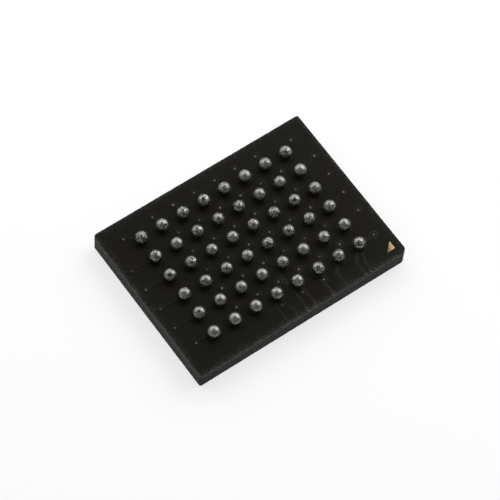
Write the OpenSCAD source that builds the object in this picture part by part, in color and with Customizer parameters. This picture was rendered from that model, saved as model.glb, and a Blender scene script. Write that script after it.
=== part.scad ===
// Ball grid array chip: 48 solder balls on a moulded body of about 8 x 6 mm, lying on its mould cap
// with the balls up. The origin is the centre of the cap's flat face, X runs along the long
// side and +Z points out of the ball side. Ball A1 stands at +X -Y, beside the gold triangle.

/* [Body] */
// Length of the body along X
body_x = 7.96; // [7.90:0.01:8.26]
// Width of the body along Y
body_y = 5.96; // [5.90:0.01:6.26]
// Thickness of the mould cap
cap_t = 0.53; // [0.50:0.01:0.80]
// Rounding of the corner beside the index mark
mark_corner_r = 0.14; // [0.06:0.01:0.30]
// Rounding of the corner diagonally across from it
far_corner_r = 0.09; // [0.06:0.01:0.30]
// Rounding of the other two corners
corner_r = 0.08; // [0.04:0.01:0.20]

/* [Solder balls] */
// Distance between the centres of two neighbouring balls
pitch = 0.80; // [0.78:0.01:0.82]
// Diameter of a ball
ball_d = 0.45; // [0.42:0.01:0.50]
// Opening in the solder mask that a ball stands in
opening_d = 0.375; // [0.330:0.005:0.390]
// Copper pad under a ball
pad_d = 0.43; // [0.41:0.01:0.45]

/* [Substrate] */
// Thickness of the laminate core
core_t = 0.15; // [0.10:0.01:0.30]
// Thickness of each copper layer
copper_t = 0.015; // [0.010:0.001:0.025]
// Thickness of the solder mask over the copper
mask_over = 0.020; // [0.016:0.001:0.030]
// How far the ball side mask dips between the copper
mask_dip = 0.008; // [0.004:0.001:0.012]
// How far the raised mask reaches past the copper under it
mask_flank = 0.015; // [0.010:0.001:0.018]
// Width of a copper trace
trace_w = 0.050; // [0.040:0.005:0.060]

/* [Vias] */
// Diameter of the drilled hole
via_d = 0.10; // [0.08:0.01:0.14]
// Thickness of the copper plated on the hole's wall
via_wall = 0.012; // [0.008:0.001:0.018]
// Diameter of the copper land round a via
land_d = 0.22; // [0.18:0.01:0.23]
// Width of the dimple that the mask leaves over a via
dimple_d = 0.12; // [0.08:0.01:0.16]
// Depth of that dimple
dimple_depth = 0.014; // [0.006:0.001:0.015]
// Step from a ball to its via along X
via_dx = 0.33; // [0.30:0.01:0.36]
// Step from a ball to its via along Y
via_dy = 0.37; // [0.34:0.01:0.40]
// How far the vias of the -X column lie inside the short side
left_via_in = 0.30; // [0.24:0.01:0.38]
// How far the vias of the +X column lie inside the short side
right_via_in = 0.43; // [0.38:0.01:0.48]
// How far the two -Y corner vias lie inside the short sides
low_corner_via_in = 0.55; // [0.52:0.01:0.58]
// How far the two +Y corner vias lie inside the short sides
high_corner_via_in = 0.72; // [0.68:0.01:0.76]

/* [Index mark] */
// Leg of the gold triangle beside ball A1
mark_leg = 0.32; // [0.20:0.01:0.36]
// How far its square corner lies inside both sides
mark_inset = 0.26; // [0.22:0.01:0.30]

/* [Die] */
// Length of the silicon die along X
die_x = 5.30; // [5.00:0.05:5.40]
// Width of the die along Y
die_y = 4.00; // [3.60:0.05:4.40]
// Thickness of the die
die_t = 0.20; // [0.12:0.01:0.22]
// Thickness of the adhesive film under the die
attach_t = 0.025; // [0.015:0.005:0.040]
// Side of a square bond pad
bond_pad = 0.075; // [0.070:0.005:0.090]
// Height of a bond pad over the die's face
bond_pad_t = 0.005; // [0.003:0.001:0.008]
// How far a bond pad's centre lies inside the die's edge
bond_pad_in = 0.07; // [0.06:0.01:0.12]

/* [Bond wires] */
// Diameter of the gold wire
wire_d = 0.025; // [0.020:0.001:0.030]
// Diameter of the ball bond on the die
bond_ball_d = 0.060; // [0.050:0.002:0.066]
// Height of that ball bond
bond_ball_h = 0.012; // [0.008:0.001:0.020]
// Straight rise of the wire over its ball bond
wire_rise = 0.07; // [0.04:0.01:0.10]
// Radius of the bend at the top of the loop
wire_bend_r = 0.05; // [0.03:0.01:0.07]
// Diameter of the flattened stitch on the finger
stitch_d = 0.066; // [0.060:0.001:0.070]
// Height of that stitch
stitch_h = 0.008; // [0.006:0.001:0.012]
// Width of a bond finger
finger_w = 0.09; // [0.08:0.01:0.11]
// Length of a bond finger
finger_l = 0.22; // [0.18:0.01:0.24]
// How far the fingers along the long sides lie inside them
finger_in = 0.20; // [0.19:0.01:0.22]
// How far the fingers along the short sides lie inside them
side_finger_in = 0.88; // [0.86:0.01:0.92]
// Room that a window in the mask leaves round its fingers
window_gap = 0.03; // [0.02:0.005:0.04]

/* [Hidden] */
$fn = 48;
// The grid: lettered rows run from +X to -X, numbered columns from -Y to +Y.
rows = 8;
cols = 6;
last_row = rows - 1;
last_col = cols - 1;

// Heights of the layers over the cap's flat face
z_core = cap_t + mask_over + copper_t;
z_mid = z_core + core_t / 2;
z_pad = z_core + core_t;
z_mask = z_pad + copper_t;
z_seat = z_mask + mask_over;
z_attach = cap_t - attach_t;
z_die = z_attach - die_t;
z_bond = z_die - bond_pad_t;

// A ball is a sphere cut off where it is as wide as its opening.
ball_r = ball_d / 2;
ball_lift = sqrt(ball_r * ball_r - opening_d * opening_d / 4);

// The track that passes a via leaves room for its land.
lane = 0.20;
// The vias of the +Y edge lie clear of the window over the fingers.
window_room = 0.05;
finger_y = body_y / 2 - finger_in;
finger_x = body_x / 2 - side_finger_in;
edge_via_dx = -0.05;
edge_via_y = finger_y - finger_l / 2 - window_gap - land_d / 2 - window_room;
corner_via_drop = 0.14;
corner_via_y = edge_via_y - corner_via_drop;
// The vias of the two short sides lie a little to +Y of their balls.
left_via_dy = 0.05;
right_via_dy = 0.24;
low_corner_via_dy = 0.05;

// Balls of the A1 side with a second via below them, and its step from the ball
doubled_rows = [2, 3, 4];
doubled_step = [-0.03, -via_dy];

// Distance between the bond pads of each side of the die, and the middle of each row
high_pads = [0.17, 0.10];
low_pads = [0.30, 0.30];
side_pads = [0.60, -0.30];

function ball_x(row) = pitch * (last_row / 2 - row);
function ball_y(col) = pitch * (col - last_col / 2);
function ball_at(row, col) = [ball_x(row), ball_y(col)];
function ball_name(row, col) = str("ball_", chr(97 + row), col + 1);

// Inset of a short side's via from that side
function side_in(col, middle) =
    col == 0 ? low_corner_via_in : col == last_col ? high_corner_via_in : middle;
function side_via_y(col, dy) =
    col == last_col ? corner_via_y : ball_y(col) + (col == 0 ? low_corner_via_dy : dy);

// Centre of the via that serves a ball
function via_at(row, col) =
    row == 0 ? [body_x / 2 - side_in(col, right_via_in), side_via_y(col, right_via_dy)] :
    row == last_row ? [side_in(col, left_via_in) - body_x / 2, side_via_y(col, left_via_dy)] :
    col == last_col ? [ball_x(row) + edge_via_dx, edge_via_y] :
    ball_at(row, col) + [via_dx, via_dy];
function doubled_via_at(row) = ball_at(row, 0) + doubled_step;

GRID = [for (row = [0:last_row], col = [0:last_col]) [row, col]];
VIAS = concat(
    [for (g = GRID) via_at(g[0], g[1])],
    [for (row = doubled_rows) doubled_via_at(row)]);

// Columns that the fingers of the +Y side reach from each row, in their order along X, with
// the track that each one takes past the vias before its own
HIGH_LANES = [
    [last_col, edge_via_dx],
    [last_col - 3, via_dx - lane],
    [last_col - 1, via_dx],
    [last_col - 2, via_dx + lane]];
LOW_LANES = [[0, via_dx], [1, via_dx + lane]];

// Fingers of each side as [middle of the finger, via], in their order along the side
HIGH = concat(
    [[[via_at(last_row, last_col).x, finger_y], via_at(last_row, last_col)]],
    [for (row = [last_row - 1:-1:1], l = HIGH_LANES)
        [[ball_x(row) + l[1], finger_y], via_at(row, l[0])]],
    [[[via_at(0, last_col).x, finger_y], via_at(0, last_col)]]);
LOW = [for (row = [last_row - 1:-1:1], l = LOW_LANES)
    [[ball_x(row) + l[1], -finger_y], via_at(row, l[0])]];
LEFT = [for (col = [0:last_col - 1])
    let (v = via_at(last_row, col)) [[-finger_x, v.y], v]];
RIGHT = [for (col = [0:last_col - 1])
    let (v = via_at(0, col)) [[finger_x, v.y], v]];

// Plating tails that run out to the -Y side, as [start, step to the bend]
TAILS = [
    [ball_at(0, 0), [-0.44, -0.45]],
    [ball_at(0, 0), [-0.20, -0.67]],
    [ball_at(1, 0), [-0.355, -0.40]],
    [doubled_via_at(2), [-0.07, -0.18]],
    [doubled_via_at(3), [0.07, -0.28]],
    [doubled_via_at(4), [0.16, -0.30]],
    [ball_at(4, 0), [-0.26, -0.35]],
    [via_at(4, 1), [0.185, -0.185]]];

// Balls of one supply, tied to the via diagonally below them
TIES = [[0, 3], [1, 2], [3, 2], [3, 5], [5, 3]];

// ---- Plan shapes ----

// What rounding takes off a corner whose point is at the origin and whose body lies to -X -Y
module corner_waste(r) {
    translate([-r, -r]) difference() {
        square(2 * r);
        circle(r);
    }
}

// Outline of the sawn body
module outline() {
    radii = [corner_r, far_corner_r, corner_r, mark_corner_r];
    turn = [for (i = [0:3]) 90 * i];
    difference() {
        square([body_x, body_y], center = true);
        for (i = [0:3])
            translate([(i == 0 || i == 3 ? 1 : -1) * body_x / 2, (i < 2 ? 1 : -1) * body_y / 2])
                rotate(turn[i]) corner_waste(radii[i]);
    }
}

// Unit vector square to a step, on its left
function left_of(v) = [-v.y, v.x] / norm(v);
// Where a flank turns at point i of a route, for a flank 1 away
function mitre(p, i) =
    let (k = max(i, 1), m = min(i + 1, len(p) - 1),
        a = left_of(p[k] - p[k - 1]), b = left_of(p[m] - p[m - 1]))
    (a + b) / (1 + a * b);

// Band of one width and thickness along a route of points
module trace(p, w, t) {
    last = len(p) - 1;
    linear_extrude(t) polygon(concat(
        [for (i = [0:last]) p[i] + mitre(p, i) * w / 2],
        [for (i = [last:-1:0]) p[i] - mitre(p, i) * w / 2]));
}

// Lands of one copper layer round every via
module lands(grow, t) {
    for (v = VIAS) translate(v) cylinder(r = land_d / 2 + grow, h = t);
}

// Inside of every plated hole, from the height 0 up
module bores(t) {
    for (v = VIAS) translate(v) cylinder(r = via_d / 2 - via_wall, h = t);
}

// Copper of the ball side, t thick, with each edge moved out by grow
module ball_side_pattern(grow, t) {
    w = trace_w + 2 * grow;
    for (g = GRID) {
        translate(ball_at(g[0], g[1])) cylinder(r = pad_d / 2 + grow, h = t);
        trace([ball_at(g[0], g[1]), via_at(g[0], g[1])], w, t);
    }
    lands(grow, t);
    for (row = doubled_rows) trace([ball_at(row, 0), doubled_via_at(row)], w, t);
    for (a = TAILS) trace([a[0], a[0] + a[1], [(a[0] + a[1]).x, -body_y / 2]], w, t);
    for (g = TIES) trace([ball_at(g[0], g[1]), via_at(g[0] + 1, g[1] - 1)], w, t);
}

// Finger that runs along Y, or along X
module finger(along_x, t) {
    size = along_x ? [finger_l, finger_w] : [finger_w, finger_l];
    linear_extrude(t) square(size, center = true);
}

// Track from a finger of a long side: down its lane, then across to its via
module lane_trace(f, v, t) {
    off = abs(f.x - v.x);
    trace(off < 0.001 ? [f, v] : [f, [f.x, v.y + sign(f.y) * off], v], trace_w, t);
}

// Copper of the die side, t thick
module die_side_pattern(t) {
    lands(0, t);
    for (n = concat(HIGH, LOW)) {
        translate(n[0]) finger(false, t);
        lane_trace(n[0], n[1], t);
    }
    for (n = concat(LEFT, RIGHT)) {
        translate(n[0]) finger(true, t);
        trace([n[0], n[1]], trace_w, t);
    }
    for (row = doubled_rows)
        trace([doubled_via_at(row), [via_at(row, 0).x, doubled_via_at(row).y]], trace_w, t);
}

// Window in the mask that bares one row of fingers
module window(side, along_x, t) {
    first = side[0][0];
    last = side[len(side) - 1][0];
    size = [finger_w, finger_l] / 2 + [window_gap, window_gap];
    reach = along_x ? [size.y, size.x] : size;
    translate(first - reach) linear_extrude(t) square(last - first + 2 * reach);
}

module windows(t) {
    window(HIGH, false, t);
    window(LOW, false, t);
    window(LEFT, true, t);
    window(RIGHT, true, t);
}

// Gold triangle with its square corner towards the body's corner
module mark(t) {
    translate([body_x / 2 - mark_inset, mark_inset - body_y / 2]) linear_extrude(t)
        polygon([[0, 0], [0, mark_leg], [-mark_leg, 0]]);
}

// ---- Bond wires ----

// Place k of n on a row of bond pads, from the row's spacing and middle
function pad_place(row_of_pads, k, n) = row_of_pads[1] + row_of_pads[0] * (k - (n - 1) / 2);

// Each wire as [bond pad, finger]
WIRES = concat(
    [for (k = [0:len(HIGH) - 1])
        [[pad_place(high_pads, k, len(HIGH)), die_y / 2 - bond_pad_in], HIGH[k][0]]],
    [for (k = [0:len(LOW) - 1])
        [[pad_place(low_pads, k, len(LOW)), bond_pad_in - die_y / 2], LOW[k][0]]],
    [for (k = [0:len(LEFT) - 1])
        [[bond_pad_in - die_x / 2, pad_place(side_pads, k, len(LEFT))], LEFT[k][0]]],
    [for (k = [0:len(RIGHT) - 1])
        [[die_x / 2 - bond_pad_in, pad_place(side_pads, k, len(RIGHT))], RIGHT[k][0]]]);

// One wire in its own frame: it rises along +Z from a pad at the origin, bends over and runs
// straight down to a finger that lies span away along X and drop below the pad. The seams of
// its round pieces are turned out of the plane of the loop, where they would meet.
module wire(span, drop) {
    seam = 60;
    top = bond_ball_h + wire_rise;
    to_end = [span - wire_bend_r, -drop - top];
    reach = norm(to_end);
    steep = 90 - atan2(to_end.y, to_end.x) - acos(wire_bend_r / reach);
    slope = round(100 * steep) / 100;
    run = sqrt(reach * reach - wire_bend_r * wire_bend_r);
    cylinder(d = bond_ball_d, h = bond_ball_h);
    translate([0, 0, bond_ball_h]) rotate(seam) cylinder(d = wire_d, h = wire_rise);
    translate([wire_bend_r, 0, top]) rotate([90, 0, 0]) rotate([0, 0, 90 - slope])
        rotate_extrude(angle = 90 + slope)
            translate([wire_bend_r, 0]) rotate(seam) circle(d = wire_d);
    difference() {
        translate([wire_bend_r * (1 + sin(slope)), 0, top + wire_bend_r * cos(slope)])
            rotate([0, 90 + slope, 0]) rotate(seam) cylinder(d = wire_d, h = run + 2 * wire_d);
        translate([span, 0, -drop - wire_d * 5]) cube(wire_d * 10, center = true);
    }
    translate([span, 0, -drop]) rotate(seam) cylinder(d = stitch_d, h = stitch_h);
}

// ---- Pieces ----

module die() {
    color([0.42, 0.43, 0.46]) translate([0, 0, z_die]) linear_extrude(die_t)
        square([die_x, die_y], center = true);
}

module die_attach() {
    color([0.62, 0.58, 0.50]) translate([0, 0, z_attach]) linear_extrude(attach_t)
        square([die_x, die_y], center = true);
}

module bond_pads() {
    color([0.80, 0.81, 0.83]) for (w = WIRES) translate([w[0].x, w[0].y, z_bond])
        linear_extrude(bond_pad_t) square(bond_pad, center = true);
}

module bond_wires() {
    drop = cap_t + mask_over - z_bond;
    color([0.86, 0.70, 0.36]) for (w = WIRES) {
        step = w[1] - w[0];
        translate([w[0].x, w[0].y, z_bond]) rotate([0, 0, atan2(step.y, step.x)])
            rotate([180, 0, 0]) wire(norm(step), drop);
    }
}

module copper_die_side() {
    color([0.74, 0.46, 0.26]) translate([0, 0, z_core - copper_t]) difference() {
        die_side_pattern(copper_t);
        bores(copper_t);
    }
}

module copper_ball_side() {
    color([0.74, 0.46, 0.26]) translate([0, 0, z_pad]) difference() {
        ball_side_pattern(0, copper_t);
        bores(copper_t);
    }
}

// Coat over the die side; its ink also fills the lower half of every via
module solder_mask_die_side() {
    color([0.13, 0.14, 0.11]) {
        difference() {
            translate([0, 0, cap_t]) linear_extrude(z_core - cap_t) outline();
            translate([0, 0, cap_t]) windows(z_core - cap_t);
            copper_die_side();
        }
        translate([0, 0, z_core]) bores(core_t / 2);
    }
}

// Coat that stands a little higher over the copper, with an opening for every ball and for
// the mark and a dimple over every via; its ink fills the upper half of the vias
module solder_mask_ball_side() {
    dimple_r = (dimple_d * dimple_d / 4 + dimple_depth * dimple_depth) / (2 * dimple_depth);
    color([0.11, 0.10, 0.08]) {
        difference() {
            union() {
                translate([0, 0, z_pad]) linear_extrude(z_seat - mask_dip - z_pad) outline();
                translate([0, 0, z_seat - mask_dip]) ball_side_pattern(mask_flank, mask_dip);
            }
            copper_ball_side();
            translate([0, 0, z_pad]) mark(z_seat);
            for (g = GRID) translate([ball_x(g[0]), ball_y(g[1]), z_mask])
                cylinder(d = opening_d, h = z_seat);
            for (v = VIAS) translate([v.x, v.y, z_seat - dimple_depth + dimple_r])
                sphere(dimple_r);
        }
        translate([0, 0, z_mid]) bores(core_t / 2);
    }
}

module substrate_core() {
    color([0.45, 0.42, 0.30]) translate([0, 0, z_core]) difference() {
        linear_extrude(core_t) outline();
        for (v = VIAS) translate(v) cylinder(d = via_d, h = core_t);
    }
}

module via_barrels() {
    color([0.78, 0.50, 0.28]) for (v = VIAS) translate([v.x, v.y, z_core]) difference() {
        cylinder(d = via_d, h = core_t);
        cylinder(r = via_d / 2 - via_wall, h = core_t);
    }
}

module index_mark() {
    color([0.84, 0.72, 0.49]) translate([0, 0, z_pad]) mark(copper_t);
}

// Moulding round the die and its wires; it also fills the windows over the fingers
module mould_cap() {
    color([0.17, 0.17, 0.17]) difference() {
        union() {
            linear_extrude(cap_t) outline();
            translate([0, 0, cap_t]) windows(z_core - cap_t);
        }
        copper_die_side();
        die();
        die_attach();
        bond_pads();
        bond_wires();
    }
}

// Solder ball with the stub that fills its opening down to the pad
module solder_ball(row, col) {
    color([0.72, 0.72, 0.73]) translate([ball_x(row), ball_y(col), z_seat]) {
        difference() {
            translate([0, 0, ball_lift]) sphere(ball_r);
            translate([0, 0, -ball_d / 2]) cube(ball_d, center = true);
        }
        translate([0, 0, -mask_over]) cylinder(d = opening_d, h = mask_over);
    }
}

mould_cap();
die();
die_attach();
bond_pads();
bond_wires();
copper_die_side();
solder_mask_die_side();
substrate_core();
via_barrels();
copper_ball_side();
solder_mask_ball_side();
index_mark();
for (g = GRID)
    solder_ball(g[0], g[1]);
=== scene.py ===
"""The looks of a 48-ball grid array chip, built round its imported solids.

The chip lies on the flat face of its mould cap with the solder balls up. Lengths are in
metres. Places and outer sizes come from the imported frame; the fields of each class hold the
sizes that belong to its own finish, such as the depth of the saw marks.
"""

import logging
import math
from collections.abc import Callable, Sequence
from dataclasses import dataclass, field
from enum import Enum

import bmesh
import bpy
import numpy as np
from mathutils import Matrix, Vector
from mathutils.bvhtree import BVHTree
from mathutils.geometry import delaunay_2d_cdt


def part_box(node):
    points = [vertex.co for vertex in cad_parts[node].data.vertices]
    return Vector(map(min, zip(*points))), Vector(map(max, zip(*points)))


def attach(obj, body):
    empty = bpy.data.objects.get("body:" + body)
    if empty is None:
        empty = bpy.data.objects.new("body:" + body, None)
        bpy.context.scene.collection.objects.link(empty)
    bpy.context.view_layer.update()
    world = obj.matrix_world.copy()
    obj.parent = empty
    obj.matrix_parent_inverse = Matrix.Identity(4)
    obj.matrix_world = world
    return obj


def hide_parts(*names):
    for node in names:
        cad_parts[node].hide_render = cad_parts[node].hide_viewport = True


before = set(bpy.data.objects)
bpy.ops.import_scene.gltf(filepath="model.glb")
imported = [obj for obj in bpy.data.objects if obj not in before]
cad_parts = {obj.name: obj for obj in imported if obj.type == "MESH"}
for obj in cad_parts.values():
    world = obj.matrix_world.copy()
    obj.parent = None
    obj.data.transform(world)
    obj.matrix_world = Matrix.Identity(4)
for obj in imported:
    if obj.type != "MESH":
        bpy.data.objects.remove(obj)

MM = 0.001
MICRON = 0.000001
BODY = "root"
TOUCH = 0.5 * MICRON  # a vertex this near the outline lies on it
OPENING_RADIUS = 0.1875 * MM  # of the mask's opening round each ball
SENSOR = 36  # width of the camera's sensor in millimetres
MOST = (0.3, 0.7)  # where most values of a cloudy pattern lie
Colour = tuple[float, float, float]
Array = np.ndarray
Mesh = bpy.types.Mesh
Material = bpy.types.Material
Socket = bpy.types.NodeSocket
Vert = bmesh.types.BMVert
log = logging.getLogger("chip")


# ---- Names of the options ----


class Slot(Enum):
    """Names of material slots, which the script does not use."""

    MOULD = "mould_compound"
    MASK = "solder_mask"
    SOLDER = "solder"
    GOLD = "gold"
    LAMINATE = "laminate"


class Skin(Enum):
    """How a solder ball froze: strength of its grain, depth of its roughness, share of dark specks."""

    SMOOTH = (0.15, 0.3 * MICRON, 0.0)
    DULL = (0.6, 1.3 * MICRON, 0.5)
    GRAINY = (1.0, 2.2 * MICRON, 1.0)


# ---- Surfaces in numbers ----


@dataclass(frozen=True)
class Grain:
    """A smooth random field in space, the same on every run.

    Attributes:
        seed: What the random values start from.
        size: Distance over which the field changes.
        cells: Number of values along each side before the field repeats.
    """

    seed: int
    size: float
    cells: int = 32

    def at(self, points: Array) -> Array:
        """Values of the field.

        Args:
            points: Places, one row each.

        Returns:
            One value from -1 to 1 for each place.
        """
        values = np.random.default_rng(self.seed).random((self.cells,) * 3) * 2 - 1
        place = points / self.size + self.cells * 16
        low = np.floor(place).astype(int)
        part = place - low
        part = part * part * (3 - 2 * part)
        total = np.zeros(len(points))
        for corner in np.ndindex(2, 2, 2):
            weight = np.prod(np.where(corner, part, 1 - part), axis=1)
            index = (low + corner) % self.cells
            total += weight * values[index[:, 0], index[:, 1], index[:, 2]]
        return total


def smooth_step(value: Array, low: float, high: float) -> Array:
    """Eases from 0 at low to 1 at high."""
    part = np.clip((value - low) / (high - low), 0, 1)
    return part * part * (3 - 2 * part)


def direction(azimuth: float, tilt: float) -> Array:
    """Unit vector.

    Args:
        azimuth: Degrees round +Z from +X.
        tilt: Degrees from +Z.

    Returns:
        The vector.
    """
    turn, lean = math.radians(azimuth), math.radians(tilt)
    return np.array([math.cos(turn) * math.sin(lean), math.sin(turn) * math.sin(lean), math.cos(lean)])


@dataclass(frozen=True)
class Outline:
    """The sawn outline of the body: a rectangle whose corners have radii of their own.

    Attributes:
        half: Half length along X and half width along Y.
        radii: Radius of the corner at +X +Y, -X +Y, -X -Y and +X -Y.
    """

    half: tuple[float, float]
    radii: tuple[float, float, float, float]

    @classmethod
    def of(cls, node: str) -> "Outline":
        """Reads the outline from a CAD node whose wall is the whole outline.

        Args:
            node: The CAD node.

        Returns:
            The outline.
        """
        points = mesh_points(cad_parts[node].data)
        half = points[:, 0].max(), points[:, 1].max()
        ends = []
        for side in (1, -1):
            flat = points[np.abs(points[:, 0] - side * half[0]) < 0.1 * MICRON, 1]
            ends += [half[1] - flat.max(), half[1] + flat.min()]
        right_top, right_low, left_top, left_low = map(float, ends)
        return cls((float(half[0]), float(half[1])), (right_top, left_top, left_low, right_low))

    def distance(self, points: Array) -> Array:
        """Distance from the outline, less than 0 inside it.

        Args:
            points: Places in plan, one row each.

        Returns:
            One distance for each place.
        """
        right, top = points[:, 0] >= 0, points[:, 1] >= 0
        a, b, c, d = self.radii
        radius = np.where(top, np.where(right, a, b), np.where(right, d, c))
        q = np.abs(points[:, :2]) - np.array(self.half) + radius[:, None]
        out = np.linalg.norm(np.maximum(q, 0), axis=1)
        return np.minimum(q.max(axis=1), 0) + out - radius

    def outward(self, points: Array) -> Array:
        """Unit vectors in plan that point out of the outline at these places."""
        return gradient(self.distance, points)


def gradient(measure: Callable[[Array], Array], points: Array) -> Array:
    """Direction in plan in which a distance grows.

    Args:
        measure: Gives one distance for each place in plan.
        points: Places in plan, one row each.

    Returns:
        Unit vectors, one row each.
    """
    step = MICRON
    along = np.eye(2) * step
    rise = np.stack([measure(points[:, :2] + a) - measure(points[:, :2] - a) for a in along], axis=1)
    size = np.linalg.norm(rise, axis=1, keepdims=True)
    return rise / np.maximum(size, 1e-12)


# ---- Meshes ----


def add_object(name: str, data: bpy.types.ID) -> bpy.types.Object:
    """Puts an object with this data in the scene."""
    item = bpy.data.objects.new(name, data)
    bpy.context.scene.collection.objects.link(item)
    return item


def add_piece(
    name: str,
    mesh: Mesh,
    material: Material,
    replaced: Sequence[str],
) -> bpy.types.Object:
    """Puts a finished mesh in the scene in place of CAD nodes.

    Args:
        name: Name of the piece.
        mesh: Its mesh, in the row frame.
        material: Its finish.
        replaced: CAD nodes that it stands for.

    Returns:
        The new piece, which rides on the one body.
    """
    mesh.materials.clear()
    mesh.materials.append(material)
    piece = add_object(name, mesh)
    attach(piece, BODY)
    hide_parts(*replaced)
    log.info("%s: %d faces, in place of %s", name, len(mesh.polygons), ", ".join(replaced))
    return piece


def shade(mesh: Mesh, sharp_degrees: float) -> None:
    """Shades a mesh smooth, apart from edges sharper than an angle in degrees."""
    mesh.polygons.foreach_set("use_smooth", np.ones(len(mesh.polygons), bool))
    mesh.set_sharp_from_angle(angle=math.radians(sharp_degrees))


def set_attribute(mesh: Mesh, name: str, values: Array) -> None:
    """Gives each vertex of a mesh a number that its material reads."""
    layer = mesh.attributes.new(name, "FLOAT", "POINT")
    layer.data.foreach_set("value", values.astype(np.float32))


def mesh_points(mesh: Mesh) -> Array:
    """Places of the vertices of a mesh, one row each."""
    flat = np.zeros(len(mesh.vertices) * 3)
    mesh.vertices.foreach_get("co", flat)
    return flat.reshape(-1, 3)


def welded(node: str) -> bmesh.types.BMesh:
    """A copy of a CAD node's mesh with its split vertices joined again."""
    solid = bmesh.new()
    solid.from_mesh(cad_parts[node].data)
    bmesh.ops.remove_doubles(solid, verts=solid.verts, dist=0.01 * MICRON)
    return solid


def plan_tree(node: str, keep: Callable[[Vector], bool]) -> BVHTree:
    """Search tree of the faces of a CAD node whose normals pass a test.

    Args:
        node: Name of the CAD node.
        keep: Takes a face's normal and says whether the face counts.

    Returns:
        The tree.
    """
    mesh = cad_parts[node].data
    faces = [tuple(p.vertices) for p in mesh.polygons if keep(p.normal)]
    return BVHTree.FromPolygons([v.co for v in mesh.vertices], faces)


def plan_distance(tree: BVHTree, points: Array, height: float) -> Array:
    """Distance from places at one height to the nearest face of a tree."""
    found = (tree.find_nearest((x, y, height))[3] for x, y in points[:, :2])
    return np.fromiter(found, float, len(points))


# ---- Shader graphs ----


class Graph:
    """A material and short ways to add the shader nodes in it."""

    def __init__(self, name: str) -> None:
        """Starts an empty material.

        Args:
            name: Name of the material.
        """
        self.material = bpy.data.materials.new(name)
        self.material.use_nodes = True
        self.tree = self.material.node_tree
        self.tree.nodes.clear()
        self.place = self.add("ShaderNodeTexCoord").outputs["Object"]

    def add(
        self, kind: str, inputs: dict[str | int, object] | None = None, **settings: object
    ) -> bpy.types.Node:
        """Adds a node with some of its inputs and settings."""
        node = self.tree.nodes.new(kind)
        for name, value in settings.items():
            setattr(node, name, value)
        for name, value in (inputs or {}).items():
            self.feed(node.inputs[name], value)
        return node

    def feed(self, socket: Socket, value: object) -> None:
        """Links an input to an output, or sets it to a number or a colour."""
        if isinstance(value, Socket):
            self.tree.links.new(value, socket)
        elif isinstance(value, tuple) and len(value) == 3 and socket.type == "RGBA":
            socket.default_value = (*value, 1)
        else:
            socket.default_value = value

    def noise(self, size: float, detail: float, rough: float, place: Socket | None = None) -> Socket:
        """Cloudy pattern from 0 to 1.

        Args:
            size: Distance over which it changes.
            detail: Number of finer layers.
            rough: Strength of each finer layer.
            place: Where it is looked up, if not at the surface's own places.

        Returns:
            The value of the pattern.
        """
        inputs = {"Vector": place or self.place, "Scale": 1 / size, "Detail": detail, "Roughness": rough}
        return self.add("ShaderNodeTexNoise", inputs).outputs["Fac"]

    def cells(self, size: float) -> Socket:
        """Distance from the middles of random cells, for grains of about this size."""
        inputs = {"Vector": self.place, "Scale": 1 / size}
        return self.add("ShaderNodeTexVoronoi", inputs).outputs["Distance"]

    def drawn_out(self, stretch: Colour) -> Socket:
        """Places for a pattern that is this many times longer along each axis."""
        inputs = {"Vector": self.place, "Scale": tuple(1 / s for s in stretch)}
        return self.add("ShaderNodeMapping", inputs).outputs["Vector"]

    def attribute(self, name: str) -> Socket:
        """Number that set_attribute gave each vertex."""
        return self.add("ShaderNodeAttribute", attribute_name=name).outputs["Fac"]

    def span(
        self, value: Socket, source: tuple[float, float], target: tuple[float, float] = (0, 1)
    ) -> Socket:
        """Moves a value from one range to another and holds it there.

        Args:
            value: The value.
            source: Range that it comes in.
            target: Range that it leaves in.

        Returns:
            The new value.
        """
        inputs = dict(enumerate((value, *source, *target)))
        return self.add("ShaderNodeMapRange", inputs).outputs["Result"]

    def maths(self, operation: str, a: object, b: object) -> Socket:
        """One sum of two values, such as ADD or MULTIPLY."""
        return self.add("ShaderNodeMath", {0: a, 1: b}, operation=operation).outputs[0]

    def blend(self, share: object, a: object, b: object) -> Socket:
        """Colour a where share is 0 and colour b where it is 1."""
        return self.add("ShaderNodeMix", {0: share, 6: a, 7: b}, data_type="RGBA").outputs[2]

    def relief(self, height: Socket, depth: float) -> Socket:
        """Normal of a fine relief that only shades, from a pattern and the relief's depth."""
        inputs = {"Strength": 1, "Distance": depth, "Height": height}
        return self.add("ShaderNodeBump", inputs).outputs["Normal"]

    def finish(self, **sockets: object) -> Material:
        """Ends the material in one Principled shader.

        Args:
            **sockets: Values of its inputs; an underscore in a name stands for a space.

        Returns:
            The material.
        """
        inputs = {name.replace("_", " "): value for name, value in sockets.items()}
        return self.end(self.add("ShaderNodeBsdfPrincipled", inputs).outputs["BSDF"])

    def end(self, shader: Socket) -> Material:
        """Links a shader to the output and gives the material."""
        self.add("ShaderNodeOutputMaterial", {"Surface": shader})
        return self.material


# ---- Finishes ----


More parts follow.
